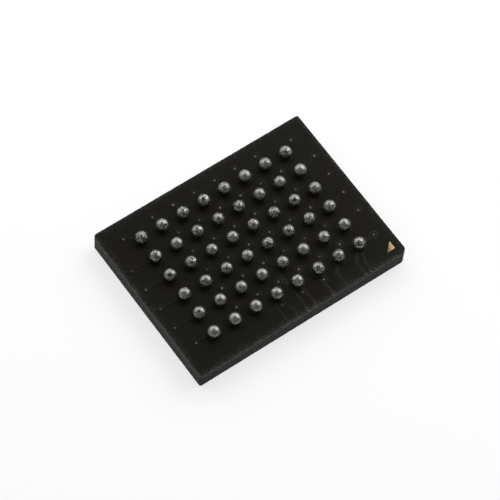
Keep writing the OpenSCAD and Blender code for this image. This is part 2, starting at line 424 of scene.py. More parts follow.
@dataclass(frozen=True)
class SolderFinish:
    """Reflowed tin-silver solder that has dulled, with dark flux in its pits, and painted shade on the lower
    half of each ball.

    Attributes:
        metal: The bright metal.
        dull: Its dull patches.
        flux_and_shade: The flux, whose colour also paints shade on the lower half of each ball.
        grain: Size of the dark specks.
        even: Share of bright metal on a ball without grain.
    """

    metal: Colour = (0.56, 0.553, 0.505)
    dull: Colour = (0.085, 0.083, 0.070)
    flux_and_shade: Colour = (0.008, 0.007, 0.005)
    grain: float = 0.040 * MM
    even: float = 0.50

    def material(self) -> Material:
        """Builds the material."""
        g = Graph("solder")
        pit, grain = g.attribute("pit"), g.attribute("grain")
        coarse = g.noise(self.grain * 1.5, 4, 0.7)
        fine = g.noise(self.grain * 0.45, 3, 0.6)
        patches = g.span(coarse, (0.43, 0.58), (-self.even, 1 - self.even))
        share = g.maths("ADD", g.maths("MULTIPLY", patches, grain), self.even)
        specks = g.span(g.noise(self.grain, 2, 0.6), (0.38, 0.45), (0.95, 0))
        speck = g.maths("MULTIPLY", specks, grain)
        tone = g.blend(speck, g.blend(share, self.dull, self.metal), self.flux_and_shade)
        return g.finish(
            # Where the pit attribute is high, the colour goes to the flux and the metal goes dull. That is
            # dirt in specks and pits, and painted shade on the lower half.
            Base_Color=g.blend(pit, tone, self.flux_and_shade),
            Metallic=g.span(pit, (0, 1), (1, 0.2)),
            Roughness=g.span(coarse, MOST, (0.24, 0.46)),
            Normal=g.relief(fine, 1.6 * MICRON),
        )


@dataclass(frozen=True)
class MaskFinish:
    """Black solder mask: olive-black with faint clouds, paler where the saw has chipped it, lighter along the
    copper's edges partly as painted highlight, and with painted glints in the via dimples.

    Attributes:
        olive: Its usual colour.
        plum: Its other clouds.
        thin_mask_and_sheen: Where it is thin, over the copper's edges. It is lighter there, partly from the
            thin mask and partly as a painted highlight.
        chip: Chips along the sides.
        via_tint_and_glint: Its dimples over the vias, which have a light tint of thin mask and a painted
            glint.
    """

    olive: Colour = (0.0080, 0.0082, 0.0046)
    plum: Colour = (0.0086, 0.0070, 0.0056)
    thin_mask_and_sheen: Colour = (0.046, 0.045, 0.032)
    chip: Colour = (0.105, 0.100, 0.086)
    via_tint_and_glint: Colour = (0.19, 0.185, 0.155)

    def material(self) -> Material:
        """Builds the material."""
        g = Graph("solder_mask")
        clouds = g.noise(1.1 * MM, 2, 0.5)
        fine = g.noise(0.03 * MM, 3, 0.6)
        tone = g.blend(g.span(clouds, (0.4, 0.6)), self.olive, self.plum)
        # Lighter lines along the copper's edges: partly the thin mask there, partly a painted highlight.
        tone = g.blend(g.attribute("thin_mask_and_sheen"), tone, self.thin_mask_and_sheen)
        speck = g.span(g.noise(0.028 * MM, 2, 0.6), (0.50, 0.62))
        tone = g.blend(g.maths("MULTIPLY", speck, g.attribute("rim")), tone, self.chip)
        # Painted glint in the via dimples, with a tint of the thin mask there.
        tone = g.blend(g.attribute("via"), tone, self.via_tint_and_glint)
        return g.finish(
            Base_Color=tone,
            Roughness=g.span(fine, MOST, (0.36, 0.52)),
            Specular_IOR_Level=0.09,
            Normal=g.relief(fine, 0.35 * MICRON),
        )


@dataclass(frozen=True)
class MouldFinish:
    """Epoxy moulding compound: charcoal, with pale silica grains cut open by the saw."""

    resin: Colour = (0.0035, 0.0033, 0.0028)
    silica: Colour = (0.240, 0.232, 0.205)

    def material(self) -> Material:
        """Builds the material."""
        g = Graph("mould_compound")
        grains = g.span(g.cells(0.055 * MM), (0.15, 0.45), (1, 0))
        patches = g.span(g.noise(0.060 * MM, 3, 0.65), (0.48, 0.58), (0.06, 1))
        share = g.maths("MULTIPLY", grains, patches)
        sawn = g.attribute("sawn")
        tone = g.blend(g.maths("MULTIPLY", share, sawn), self.resin, self.silica)
        tone = g.blend(g.span(sawn, (0, 1), (0, 0.06)), tone, self.silica)
        matte = g.noise(0.012 * MM, 3, 0.65)
        return g.finish(
            Base_Color=tone,
            Roughness=g.span(matte, MOST, (0.55, 0.75)),
            Specular_IOR_Level=0.12,
            Normal=g.relief(matte, 1.2 * MICRON),
        )


@dataclass(frozen=True)
class LaminateFinish:
    """Black-dyed laminate: resin with cut bundles of glass fibre in two plies."""

    resin: Colour = (0.010, 0.0095, 0.008)
    glass: Colour = (0.190, 0.184, 0.158)

    def material(self) -> Material:
        """Builds the material."""
        g = Graph("laminate")
        bundles = g.noise(0.045 * MM, 3, 0.5, g.drawn_out((2.5, 2.5, 1)))
        ends = g.cells(0.009 * MM)
        cut_ends = g.span(ends, (0.2, 0.6), (1, 0.4))
        share = g.maths("MULTIPLY", g.span(bundles, (0.48, 0.60)), cut_ends)
        return g.finish(
            Base_Color=g.blend(share, self.resin, self.glass),
            Roughness=0.6,
            Specular_IOR_Level=0.15,
            Normal=g.relief(ends, 1.0 * MICRON),
        )


@dataclass(frozen=True)
class MetalFinish:
    """A plain metal with fine plating grain.

    Attributes:
        name: Name of the material.
        bright: Colour of the clean metal.
        worn: Colour of its tarnish.
        grain: Size of the plating grain.
        rough: Least and most roughness.
    """

    name: str
    bright: Colour
    worn: Colour
    grain: float = 0.012 * MM
    rough: tuple[float, float] = (0.25, 0.45)

    def material(self) -> Material:
        """Builds the material."""
        g = Graph(self.name)
        patches = g.noise(self.grain * 3, 3, 0.6)
        fine = g.noise(self.grain, 3, 0.6)
        return g.finish(
            Base_Color=g.blend(g.span(patches, (0.35, 0.7)), self.bright, self.worn),
            Metallic=1.0,
            Roughness=g.span(fine, MOST, self.rough),
            Normal=g.relief(fine, 0.8 * MICRON),
        )


@dataclass(frozen=True)
class SolidFinish:
    """A plain unpolished solid.

    Attributes:
        name: Name of the material.
        main: Its usual colour.
        other: Colour of its patches.
        rough: Least and most roughness.
        grain: Size of its patches.
    """

    name: str
    main: Colour
    other: Colour
    rough: tuple[float, float]
    grain: float = 0.02 * MM

    def material(self) -> Material:
        """Builds the material."""
        g = Graph(self.name)
        patches = g.noise(self.grain, 3, 0.55)
        return g.finish(
            Base_Color=g.blend(g.span(patches, (0.35, 0.65)), self.main, self.other),
            Roughness=g.span(patches, MOST, self.rough),
            Normal=g.relief(patches, 0.4 * MICRON),
        )


# ---- The sawn sides ----


@dataclass(frozen=True)
class SawnSide:
    """Roughness that the dicing saw leaves on the four sides.

    Attributes:
        outline: Plan of the body.
        step: Distance between two vertices on a side.
        grit: Depth of the grain.
        marks: Depth of the lines that the blade draws along the side.
        chip: Depth of the chips along an edge.
    """

    outline: Outline
    step: float = 0.024 * MM
    grit: float = 8 * MICRON
    marks: float = 2 * MICRON
    chip: float = 9 * MICRON

    def depth(self, points: Array) -> Array:
        """How far the surface lies inside the outline at places on a side."""
        coarse = Grain(11, 0.055 * MM).at(points)
        fine = Grain(12, 0.024 * MM).at(points)
        drawn = Grain(13, 0.016 * MM).at(points * np.array([0.06, 0.06, 1]))
        depth = self.grit * (0.5 + 0.35 * coarse + 0.3 * fine) + self.marks * (0.5 + 0.5 * drawn)
        return np.maximum(depth, 0)

    def cut(self, points: Array) -> Array:
        """Places on the outline, moved in to the sawn surface."""
        moved = points.copy()
        moved[:, :2] -= self.outline.outward(points) * self.depth(points)[:, None]
        return moved

    def rough_solid(self, node: str) -> Mesh:
        """The mesh of a CAD node with its outer wall cut anew, fine and rough.

        Args:
            node: CAD node whose outer wall is the whole outline.

        Returns:
            A closed mesh whose inner faces are the node's own.
        """
        solid = welded(node)
        on_side = self._on_side(solid)
        heights = [v.co.z for v in on_side]
        walls = [f for f in solid.faces if abs(f.normal.z) < 0.1 and all(v in on_side for v in f.verts)]
        bmesh.ops.delete(solid, geom=walls, context="FACES")
        rings = [self._split_ring(solid, z) for z in (max(heights), min(heights))]
        self._join_rings(solid, *rings)
        crowded = [f for f in solid.faces if len(f.verts) > 4]
        bmesh.ops.triangulate(solid, faces=crowded)
        bmesh.ops.recalc_face_normals(solid, faces=solid.faces)
        mesh = bpy.data.meshes.new(node + "_sawn")
        solid.to_mesh(mesh)
        solid.free()
        return self._roughen(mesh)

    def _on_side(self, solid: bmesh.types.BMesh) -> set[Vert]:
        """Vertices of a solid that lie on the outline."""
        places = np.array([v.co for v in solid.verts])
        near = np.abs(self.outline.distance(places)) < TOUCH
        return {v for v, hit in zip(solid.verts, near) if hit}

    def _split_ring(self, solid: bmesh.types.BMesh, z: float) -> list[Vert]:
        """Splits the open edges at one height to the step.

        Args:
            solid: The mesh without its outer wall.
            z: Height of the edges.

        Returns:
            The vertices of the ring in their order round the outline.
        """
        at_height = [
            e
            for e in solid.edges
            if len(e.link_faces) == 1 and all(abs(v.co.z - z) < MICRON for v in e.verts)
        ]
        for edge in at_height:
            pieces = max(1, math.ceil(edge.calc_length() / self.step - 1e-3))
            first = min(edge.verts, key=lambda v: (v.co.x, v.co.y))
            for left in range(pieces, 1, -1):
                edge, first = bmesh.utils.edge_split(edge, first, 1 / left)
                edge = next(e for e in first.link_edges if self._ahead(e, first))
        ring = [v for v in solid.verts if v.is_boundary and abs(v.co.z - z) < MICRON]
        return sorted(ring, key=lambda v: math.atan2(v.co.y, v.co.x))

    @staticmethod
    def _ahead(edge: bmesh.types.BMEdge, start: Vert) -> bool:
        """Whether an open edge runs on from a vertex in rising order of X, then Y."""
        end = edge.other_vert(start).co
        return edge.is_boundary and (end.x, end.y) > (start.co.x, start.co.y)

    def _join_rings(self, solid: bmesh.types.BMesh, top: list[Vert], bottom: list[Vert]) -> None:
        """Fills the wall between two rings with rows of square faces."""
        height = top[0].co.z - bottom[0].co.z
        count = max(2, round(height / self.step))
        rows = [top]
        for k in range(1, count):
            share = k / count
            rows.append([solid.verts.new(a.co.lerp(b.co, share)) for a, b in zip(top, bottom)])
        rows.append(bottom)
        for above, below in zip(rows, rows[1:]):
            for k in range(len(top)):
                n = (k + 1) % len(top)
                solid.faces.new((above[k], below[k], below[n], above[n]))

    def _roughen(self, mesh: Mesh) -> Mesh:
        """Moves the vertices on the outline in to the sawn surface and marks them."""
        points = mesh_points(mesh)
        side = np.abs(self.outline.distance(points)) < TOUCH
        points[side] = self.cut(points[side])
        mesh.vertices.foreach_set("co", points.ravel())
        set_attribute(mesh, "sawn", side.astype(float))
        shade(mesh, 50)
        return mesh


@dataclass
class Body:
    """The moulding and the laminate, each with sawn sides.

    Attributes:
        side: The saw's roughness.
        mould: Finish of the moulding.
        laminate: Finish of the laminate.
    """

    side: SawnSide
    mould: MouldFinish = MouldFinish()
    laminate: LaminateFinish = LaminateFinish()

    def build(self) -> list[bpy.types.Object]:
        """Builds both pieces and gives them."""
        cap = self.side.rough_solid("mould_cap")
        core = self.side.rough_solid("substrate_core")
        return [
            add_piece("moulding", cap, self.mould.material(), ["mould_cap"]),
            add_piece("laminate_core", core, self.laminate.material(), ["substrate_core"]),
        ]


# ---- The ball side ----


@dataclass
class BallSideMask:
    """The solder mask that flows over the copper of the ball side.

    Attributes:
        side: The saw's roughness along its edge.
        openings: Centres of the ball openings in plan.
        vias: Centres of the vias in plan.
        corners: Corners of the opening over the index mark, in plan.
        spacing: Distance between two vertices.
        snap: Share of the spacing within which a vertex moves to an edge.
        dip: How far the mask lies lower between the copper.
        slope: Where the slope starts inside the copper's edge and where it ends outside.
        dimple_radius: Radius of the dimple over a via.
        dimple: Depth of that dimple.
        rim_width: How far in from the sides the mask is worn.
        finish: The mask's finish.
    """

    side: SawnSide
    openings: Array
    vias: Array
    corners: Array
    spacing: float = 0.0225 * MM
    snap: float = 0.52
    dip: float = 8 * MICRON
    slope: tuple[float, float] = (0.016 * MM, 0.038 * MM)
    dimple_radius: float = 0.062 * MM
    dimple: float = 14 * MICRON
    rim_width: float = 0.08 * MM
    finish: MaskFinish = MaskFinish()

    def edge_distance(self, points: Array) -> Array:
        """Distance in plan from the nearest edge of the mask, less than 0 on the mask."""
        holes = OPENING_RADIUS - distance_to_nearest(points, self.openings)
        return np.maximum(np.maximum(self.side.outline.distance(points), holes), -self._mark_distance(points))

    def _mark_distance(self, points: Array) -> Array:
        """Distance in plan from the index mark's opening, less than 0 inside it."""
        ends = np.roll(self.corners, -1, axis=0)
        along = (ends - self.corners) / np.linalg.norm(ends - self.corners, axis=1, keepdims=True)
        outward = np.stack([along[:, 1], -along[:, 0]], axis=1)
        return np.max([(points[:, :2] - c) @ n for c, n in zip(self.corners, outward)], axis=0)

    def build(self) -> bpy.types.Object:
        """Builds the mask and gives it."""
        plan, faces = self._plan()
        top, marks = self._heights(plan)
        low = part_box("substrate_core")[1].z
        mesh = self._closed(np.column_stack([plan, top]), faces, low, marks)
        shade(mesh, 40)
        return add_piece("ball_side_mask", mesh, self.finish.material(), ["solder_mask_ball_side"])

    def _plan(self) -> tuple[Array, list[tuple[int, ...]]]:
        """Lays a square grid over the outline and snaps it to every edge.

        Returns:
            The places in plan, and the faces on the mask.
        """
        half = np.array(self.side.outline.half)
        counts = np.ceil(2 * half / self.spacing).astype(int)
        xs, ys = (np.linspace(-h, h, n + 1) for h, n in zip(half, counts))
        grid = np.stack(np.meshgrid(xs, ys, indexing="ij"), axis=-1).reshape(-1, 2)
        gap = self.edge_distance(grid)
        near = np.abs(gap) < self.spacing * self.snap
        for _ in range(3):
            places = grid[near]
            grid[near] = places - gradient(self.edge_distance, places) * self.edge_distance(places)[:, None]
        gap = self.edge_distance(grid)
        sign = np.where(near, 0, np.sign(gap)).astype(int)
        a = (np.arange(counts[0])[:, None] * (counts[1] + 1) + np.arange(counts[1])).ravel()
        quads = np.stack([a, a + counts[1] + 1, a + counts[1] + 2, a + 1], axis=1)
        middle_gap = self.edge_distance(grid[quads].mean(axis=1))
        signs = sign[quads]
        whole = (signs <= 0).all(axis=1) & ((signs < 0).sum(axis=1) >= 3)
        whole |= (signs <= 0).all(axis=1) & (middle_gap < 0) & ((signs < 0).sum(axis=1) >= 2)
        faces = [tuple(q) for q in quads[whole].tolist()]
        for quad, s in zip(quads[~whole].tolist(), signs[~whole].tolist()):
            if (np.array(s) < 0).any() or (np.array(s) == 0).sum() >= 3:
                faces.extend(self._part(quad, s, grid))
        used = np.unique(np.concatenate([np.array(f) for f in faces]))
        place = np.full(len(grid), -1)
        place[used] = np.arange(len(used))
        return grid[used], [tuple(place[list(f)].tolist()) for f in faces]

    def _part(self, quad: list[int], signs: list[int], grid: Array) -> list[tuple[int, ...]]:
        """The triangles of a grid square that lie on the mask.

        Args:
            quad: Corners of the square, in order.
            signs: -1, 0 or 1 for each corner: on the mask, on its edge or off it.
            grid: Places of all the corners.

        Returns:
            Up to two triangles.
        """
        first = 0 if signs[0] == 0 and signs[2] == 0 else 1
        q = quad[first:] + quad[:first]
        s = signs[first:] + signs[:first]
        kept = []
        for corners in ((0, 1, 2), (0, 2, 3)):
            if max(s[c] for c in corners) > 0:
                continue
            face = tuple(q[c] for c in corners)
            middle = grid[list(face)].mean(axis=0, keepdims=True)
            if min(s[c] for c in corners) < 0 or self.edge_distance(middle)[0] < 0:
                kept.append(face)
        return kept

    def _heights(self, plan: Array) -> tuple[Array, dict[str, Array]]:
        """Height of the mask's face: over the copper, between it, in the dimples and at the rim.

        Args:
            plan: Places in plan, one row each.

        Returns:
            The heights, and by name the numbers that the finish reads at each place.
        """
        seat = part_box("solder_mask_ball_side")[1].z
        copper_low, copper_high = (corner.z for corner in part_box("copper_ball_side"))
        middle = (copper_low + copper_high) / 2
        tops = plan_tree("copper_ball_side", lambda n: n.z > 0.9)
        walls = plan_tree("copper_ball_side", lambda n: abs(n.z) < 0.1)
        beside = plan_distance(tops, plan, copper_high) > 0.01 * MICRON
        edge = plan_distance(walls, plan, middle)
        raised = 1 - smooth_step(np.where(beside, edge, -edge), -self.slope[0], self.slope[1])
        reach = distance_to_nearest(plan, self.vias)
        bowl = 1 - smooth_step(reach, 0, self.dimple_radius)
        # Strength of the painted glint and tint in each via dimple. It differs from via to via.
        via = 1 - smooth_step(reach, 0.25 * self.dimple_radius, 0.85 * self.dimple_radius)
        inside = -self.side.outline.distance(plan)
        rim = np.exp(-np.maximum(inside, 0) / self.rim_width)
        places = np.column_stack([plan, np.zeros(len(plan))])
        via *= 0.75 + 0.5 * Grain(23, 0.4 * MM).at(places)
        wander = 0.4 * MM * Grain(24, 0.8 * MM).at(places)
        # Where the lighter lines along the copper's edges show: mostly towards +X and -Y, in patches. They
        # are partly a painted highlight.
        cover = smooth_step(plan[:, 0] + wander, -1.2 * MM, 1.0 * MM)
        cover *= 0.22 + 0.78 * smooth_step(wander - plan[:, 1], 0.4 * MM, 1.9 * MM)
        patchy = 0.55 + 0.45 * Grain(25, 0.11 * MM).at(places)
        thin_mask_and_sheen = 4 * raised * (1 - raised) * cover * patchy
        chips = smooth_step(Grain(21, 0.03 * MM).at(places), 0.1, 0.7)
        sag = Grain(22, 0.35 * MM).at(places)
        height = seat - self.dip * (1 - raised) - self.dimple * bowl
        height = height - self.side.chip * rim * chips - 0.5 * MICRON * (1 + sag)
        return height, {"rim": rim, "via": via, "thin_mask_and_sheen": thin_mask_and_sheen}

    def _closed(
        self, top: Array, faces: list[tuple[int, ...]], low: float, marks: dict[str, Array]
    ) -> Mesh:
        """Adds walls down to a flat underside.

        Args:
            top: Places of the upper face's vertices.
            faces: Its faces.
            low: Height of the underside.
            marks: Numbers for the finish at each place, by name.

        Returns:
            The mesh.
        """
        links = np.concatenate([np.stack([f, np.roll(f, -1)], axis=1) for f in map(np.array, faces)])
        keys = links[:, 0] * len(top) + links[:, 1]
        back = links[:, 1] * len(top) + links[:, 0]
        open_links = links[~np.isin(keys, back)]
        rim = np.unique(open_links)
        under = np.full(len(top), -1)
        under[rim] = len(top) + np.arange(len(rim))
        base = top[rim].copy()
        base[:, 2] = low
        walls = [tuple(map(int, (b, a, under[a], under[b]))) for a, b in open_links]
        on_side = np.abs(self.side.outline.distance(top)) < TOUCH
        top[on_side] = self.side.cut(top[on_side])
        base[on_side[rim]] = self.side.cut(base[on_side[rim]])
        pairs = (under[open_links] - len(top)).tolist()
        floor = self._underside(base, {tuple(sorted(pair)) for pair in pairs})
        points = np.vstack([top, base])
        mesh = bpy.data.meshes.new("ball_side_mask")
        bottom = [tuple(int(k + len(top)) for k in f) for f in floor]
        mesh.from_pydata(points.tolist(), [], faces + walls + bottom)
        mesh.validate()
        tidy = bmesh.new()
        tidy.from_mesh(mesh)
        bmesh.ops.recalc_face_normals(tidy, faces=tidy.faces)
        tidy.to_mesh(mesh)
        tidy.free()
        for name, values in marks.items():
            set_attribute(mesh, name, np.append(values, np.full(len(base), float(name == "rim"))))
        return mesh

    def _underside(self, base: Array, links: set[tuple[int, int]]) -> list[tuple[int, ...]]:
        """Flat faces between the rings of the underside.

        Args:
            base: Places of the rings' vertices.
            links: Pairs of vertices that are joined along a ring.

        Returns:
            The faces, by vertex of the rings.
        """
        scaled = [Vector((x / MM, y / MM)) for x, y in base[:, :2]]
        _, _, faces, origins, _, _ = delaunay_2d_cdt(scaled, list(links), [], 0, 1e-7)
        back = [o[0] if o else -1 for o in origins]
        kept = []
        for face in faces:
            corners = [back[k] for k in face]
            middle = base[corners, :2].mean(axis=0, keepdims=True)
            if min(corners) >= 0 and self.edge_distance(middle)[0] < 0:
                kept.append(tuple(corners))
        return kept


def distance_to_nearest(points: Array, centres: Array) -> Array:
    """Distance in plan from each place to the nearest of some centres."""
    nearest = np.full(len(points), np.inf)
    for centre in centres:
        nearest = np.minimum(nearest, np.hypot(points[:, 0] - centre[0], points[:, 1] - centre[1]))
    return nearest


def via_centres(reach: float = 0.1 * MM) -> Array:
    """Centres in plan of the plated holes, read from the barrels.

    Args:
        reach: Distance within which two vertices belong to one barrel.

    Returns:
        One centre for each barrel.
    """
    groups: list[list[Array]] = []
    for point in mesh_points(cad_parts["via_barrels"].data)[:, :2]:
        home = next((g for g in groups if np.hypot(*(g[0] - point)) < reach + MICRON), None)
        if home is None:
            groups.append([point])
        else:
            home.append(point)
    return np.array([(np.min(g, axis=0) + np.max(g, axis=0)) / 2 for g in groups])


@dataclass
class IndexMark:
    """The gold-plated triangle beside ball A1.

    Attributes:
        bevel: Rounding of its edges.
        finish: The gold.
    """

    bevel: float = 4 * MICRON
    finish: MetalFinish = MetalFinish("gold", (0.50, 0.38, 0.19), (0.17, 0.13, 0.065))

    def corners(self) -> Array:
        """Corners in plan, with the square one first, against the clock."""
        low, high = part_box("index_mark")
        return np.array([(high.x, low.y), (high.x, high.y), (low.x, low.y)])

    def build(self) -> bpy.types.Object:
        """Builds the mark and gives it."""
        low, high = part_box("index_mark")
        solid = bmesh.new()
        base = [solid.verts.new((x, y, low.z)) for x, y in self.corners()]
        face = solid.faces.new(base)
        raised = bmesh.ops.extrude_face_region(solid, geom=[face])["geom"]
        tops = [v for v in raised if isinstance(v, Vert)]
        bmesh.ops.translate(solid, verts=tops, vec=(0, 0, high.z - low.z))
        bmesh.ops.recalc_face_normals(solid, faces=solid.faces)
        rounded = [e for e in solid.edges if any(v in tops for v in e.verts)]
        bmesh.ops.bevel(solid, geom=rounded, offset=self.bevel, segments=3, affect="EDGES", profile=0.5)
        mesh = bpy.data.meshes.new("index_mark")
        solid.to_mesh(mesh)
        solid.free()
        shade(mesh, 35)
        return add_piece("gold_mark", mesh, self.finish.material(), ["index_mark"])


# ---- Solder balls ----


@dataclass(frozen=True)
class Pit:
    """A small crater in a solder ball.

    Attributes:
        azimuth: Degrees round +Z from +X to its middle.
        tilt: Degrees from +Z to its middle.
        width: Its diameter.
        depth: Its depth.
    """

    azimuth: float
    tilt: float
    width: float = 0.055 * MM
    depth: float = 0.020 * MM


@dataclass(frozen=True)
class BallShape:
    """Unit directions and faces that every ball is made from.

    Attributes:
        directions: Unit vectors from the ball's centre.
        faces: Triangles between them.
    """

    directions: Array
    faces: Array

    @classmethod
    def make(cls, coarse: int = 5, fine_above: float = 0.25) -> "BallShape":
        """Makes a sphere of triangles that are finer on its upper part.

        Args:
            coarse: Number of times the icosahedron is divided.
            fine_above: Height over the centre, in radii, from which it is divided once more.

        Returns:
            The shape.
        """
        ball = bmesh.new()
        bmesh.ops.create_icosphere(ball, subdivisions=coarse, radius=1)
        upper = {e for f in ball.faces if f.calc_center_median().z > fine_above for e in f.edges}
        bmesh.ops.subdivide_edges(ball, edges=list(upper), cuts=1, use_grid_fill=True)
        bmesh.ops.triangulate(ball, faces=ball.faces)
        ball.verts.index_update()
        directions = np.array([v.co.normalized() for v in ball.verts])
        faces = np.array([[v.index for v in f.verts] for f in ball.faces])
        ball.free()
        return cls(directions, faces)


@dataclass
class SolderBall:
    """One reflowed ball on its pad.

    Attributes:
        node: CAD node of the ball.
        seed: What its own roughness starts from.
        skin: How its surface froze.
        pits: Its craters.
        speck_depth: Depth of a dark speck.
        neck: Share of the foot that runs down the wall of the opening.
    """

    node: str
    seed: int
    skin: Skin
    pits: tuple[Pit, ...] = ()
    speck_depth: float = 4 * MICRON
    neck: float = 0.3

    def build(self, shape: BallShape, material: Material) -> bpy.types.Object:
        """Builds the ball.

        Args:
            shape: The directions and faces of a ball.
            material: The solder.

        Returns:
            The ball.
        """
        low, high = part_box(self.node)
        radius = (high.x - low.x) / 2
        centre = np.array([(low.x + high.x) / 2, (low.y + high.y) / 2, high.z - radius])
        seat = centre[2] - math.sqrt(radius**2 - OPENING_RADIUS**2)
        points = self._on_pad(shape.directions, radius, seat - centre[2], low.z - centre[2])
        dent, dirt_and_shade = self._surface(shape.directions, radius)
        points = centre + points * (1 - dent / radius)[:, None]
        points[:, 2] = np.maximum(points[:, 2], low.z)
        mesh = bpy.data.meshes.new(self.node)
        mesh.from_pydata(points.tolist(), [], shape.faces.tolist())
        # The pit attribute holds the flux in specks and pits and the painted shade on the lower half of the
        # ball.
        set_attribute(mesh, "pit", dirt_and_shade)
        grain, _, _ = self.skin.value
        set_attribute(mesh, "grain", np.full(len(points), grain))
        shade(mesh, 60)
        return add_piece("solder_" + self.node, mesh, material, [self.node])

    def _on_pad(self, directions: Array, radius: float, seat: float, pad: float) -> Array:
        """Places on the clean ball, with its foot in the opening, from its centre.

        Args:
            directions: Unit vectors.
            radius: Radius of the ball.
            seat: Height of the mask's face, from the centre.
            pad: Height of the pad, from the centre.

        Returns:
            The places.
        """
        points = directions * radius
        polar = np.arccos(np.clip(directions[:, 2], -1, 1))
        cut = math.pi - math.asin(OPENING_RADIUS / radius)
        foot = polar > cut
        share = (polar[foot] - cut) / (math.pi - cut)
        neck = np.clip(share / self.neck, 0, 1)
        reach = OPENING_RADIUS * (1 - np.clip((share - self.neck) / (1 - self.neck), 0, 1))
        turn = np.arctan2(directions[foot, 1], directions[foot, 0])
        height = seat + (pad - seat) * neck
        points[foot] = np.stack([reach * np.cos(turn), reach * np.sin(turn), height], axis=1)
        return points

    def _surface(self, directions: Array, radius: float) -> tuple[Array, Array]:
        """How far the surface is sunk, and how far its colour goes to the flux: dirt in specks and pits, and
        painted shade on the lower half.

        Args:
            directions: Unit vectors.
            radius: Radius of the ball.

        Returns:
            The depth below the clean ball, and the dirt and painted shade from 0 to 1.
        """
        places = directions * radius + self.seed * radius * 7
        _, rough, share = self.skin.value
        dent = rough * (1 + Grain(31, 0.045 * MM).at(places))
        dent += rough * 0.9 * (1 + Grain(32, 0.021 * MM).at(places))
        specks = smooth_step(Grain(33, 0.028 * MM).at(places), 0.62, 0.9)
        dent += specks * share * self.speck_depth
        dirt_and_shade = specks * share * 0.8
        for pit in self.pits:
            reach = np.arccos(np.clip(directions @ direction(pit.azimuth, pit.tilt), -1, 1)) * radius
            wobble = 1 + 0.3 * Grain(34, 0.03 * MM).at(places)
            bowl = 1 - smooth_step(reach * wobble, 0.15 * pit.width, 0.70 * pit.width)
            dent += pit.depth * bowl
            dirt_and_shade = np.maximum(dirt_and_shade, np.clip(bowl * 1.8, 0, 1))
        flat = smooth_step(-directions[:, 2], 0.35, 0.5)
        # Painted shade: below its equator the ball is darkened toward the flux colour and made less metallic.
        foot = 0.9 * smooth_step(-directions[:, 2], 0.0, 0.45)
        return dent * (1 - flat), np.maximum(dirt_and_shade, foot)


@dataclass
class BallGrid:
    """The 48 balls: which froze smooth, which are grainy, and which have craters."""

    finish: SolderFinish = SolderFinish()
    smooth: tuple[str, ...] = ("c6", "g5", "h1", "f1", "g1", "a5", "c2", "e2", "g2")
    grainy: tuple[str, ...] = (
        "h6", "f6", "e6", "a6", "h5", "f5", "d5", "e5", "d4", "c4", "g4", "b1", "c1", "a1", "c3", "b3", "d3",
    )
    pits: dict[str, tuple[Pit, ...]] = field(
        default_factory=lambda: {
            "g6": (Pit(-75, 35, 0.081 * MM),),
            "h4": (Pit(-125, 30, 0.095 * MM), Pit(-155, 33, 0.068 * MM)),
            "f5": (Pit(150, 8, 0.061 * MM), Pit(-150, 30, 0.054 * MM)),
            "b4": (Pit(-130, 28, 0.110 * MM, 0.030 * MM),),
            "g3": (Pit(-165, 38, 0.061 * MM),),
            "f3": (Pit(-130, 32, 0.081 * MM),),
            "c3": (Pit(-128, 30, 0.081 * MM),),
            "a3": (Pit(-70, 36, 0.061 * MM),),
            "h2": (Pit(-130, 18, 0.081 * MM),),
            "g2": (Pit(-145, 34, 0.068 * MM),),
            "f2": (Pit(-150, 30, 0.047 * MM),),
            "c1": (Pit(-145, 30, 0.074 * MM),),
            "a1": (Pit(-145, 30, 0.061 * MM, 0.010 * MM),),
            "e6": (Pit(-145, 22, 0.081 * MM, 0.008 * MM),),
            "a6": (Pit(-135, 27, 0.068 * MM, 0.009 * MM),),
            "b6": (Pit(-78, 34, 0.061 * MM),),
            "h6": (Pit(-165, 42, 0.068 * MM, 0.012 * MM),),
            "e4": (Pit(-160, 34, 0.047 * MM),),
            "b1": (Pit(-170, 20, 0.047 * MM), Pit(-110, 44, 0.054 * MM)),
        }
    )

    def names(self) -> list[str]:
        """CAD nodes of the balls, in their order."""
        return sorted(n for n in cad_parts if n.startswith("ball_"))

    def centres(self) -> Array:
        """Centres of the balls in plan."""
        boxes = [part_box(n) for n in self.names()]
        return np.array([((a.x + b.x) / 2, (a.y + b.y) / 2) for a, b in boxes])

    def build(self) -> list[bpy.types.Object]:
        """Builds every ball and gives them."""
        shape = BallShape.make()
        material = self.finish.material()
        balls = []
        for seed, node in enumerate(self.names()):
            place = node.removeprefix("ball_")
            skin = Skin.SMOOTH if place in self.smooth else Skin.GRAINY if place in self.grainy else Skin.DULL
            ball = SolderBall(node, seed, skin, self.pits.get(place, ()))
            balls.append(ball.build(shape, material))
        return balls


# ---- Inner pieces ----


